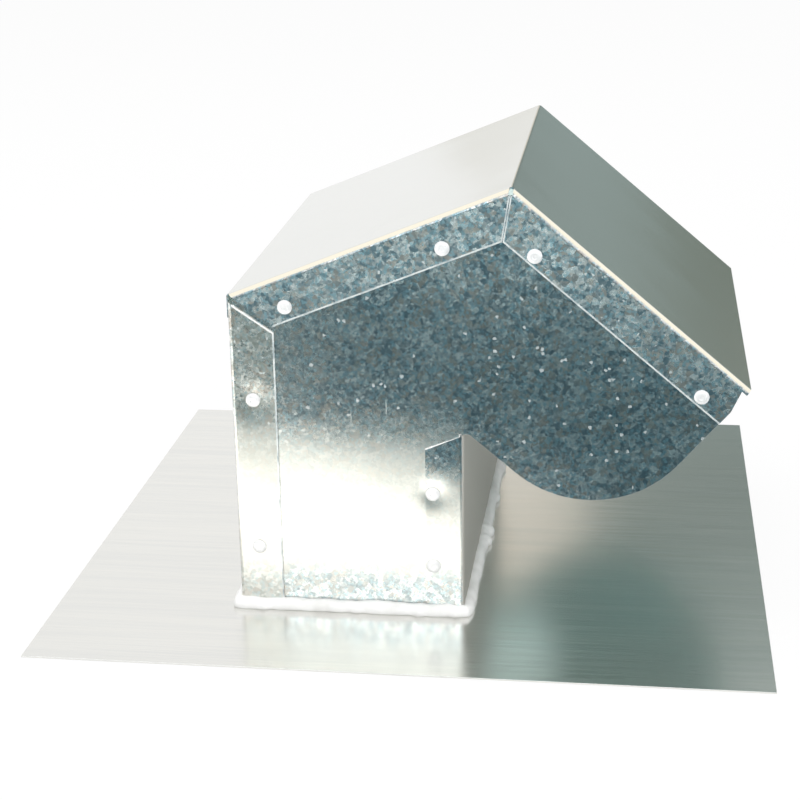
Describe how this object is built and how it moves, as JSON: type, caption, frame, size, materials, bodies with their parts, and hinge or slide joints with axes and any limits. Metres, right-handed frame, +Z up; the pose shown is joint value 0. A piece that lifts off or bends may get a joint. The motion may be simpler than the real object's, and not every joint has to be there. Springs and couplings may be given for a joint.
{
  "type": "roof vent cap",
  "caption": "Gooseneck roof vent cap folded from galvanised sheet: flat base flashing, rectangular riser, ridged hood with a downward mouth, riveted seams and a backdraft damper.",
  "frame": {"origin": "centre of the base flashing's underside", "axes": "+Z up from the roof, +X downslope towards the open mouth, Y across the slope"},
  "size_m": [0.305, 0.305, 0.1861],
  "materials": {
    "galvanised_sheet": "hot-dip galvanised, fine spangle",
    "rivet_metal": "bright, as set",
    "sealant": "matte white, hand laid",
    "rod_steel": "drawn wire, zinc plated"
  },
  "bodies": {
    "housing": {"base_flashing": "galvanised_sheet", "upslope_wall": "galvanised_sheet", "downslope_wall": "galvanised_sheet", "left_side_panel": "galvanised_sheet", "right_side_panel": "galvanised_sheet", "hood_cover": "galvanised_sheet", "cover_rivets": "rivet_metal", "wall_rivets": "rivet_metal", "collar_rivets": "rivet_metal", "sealant_bead": "sealant"},
    "damper": {"damper_flap": "galvanised_sheet", "damper_rod": "rod_steel"}
  },
  "joints": [
    {"name": "damper_hinge", "type": "hinge", "parent": "housing", "child": "damper", "pos_m": [-0.065, 0, 0.0866], "axis": [0, -1, 0], "range_deg": [0, 55]}
  ]
}
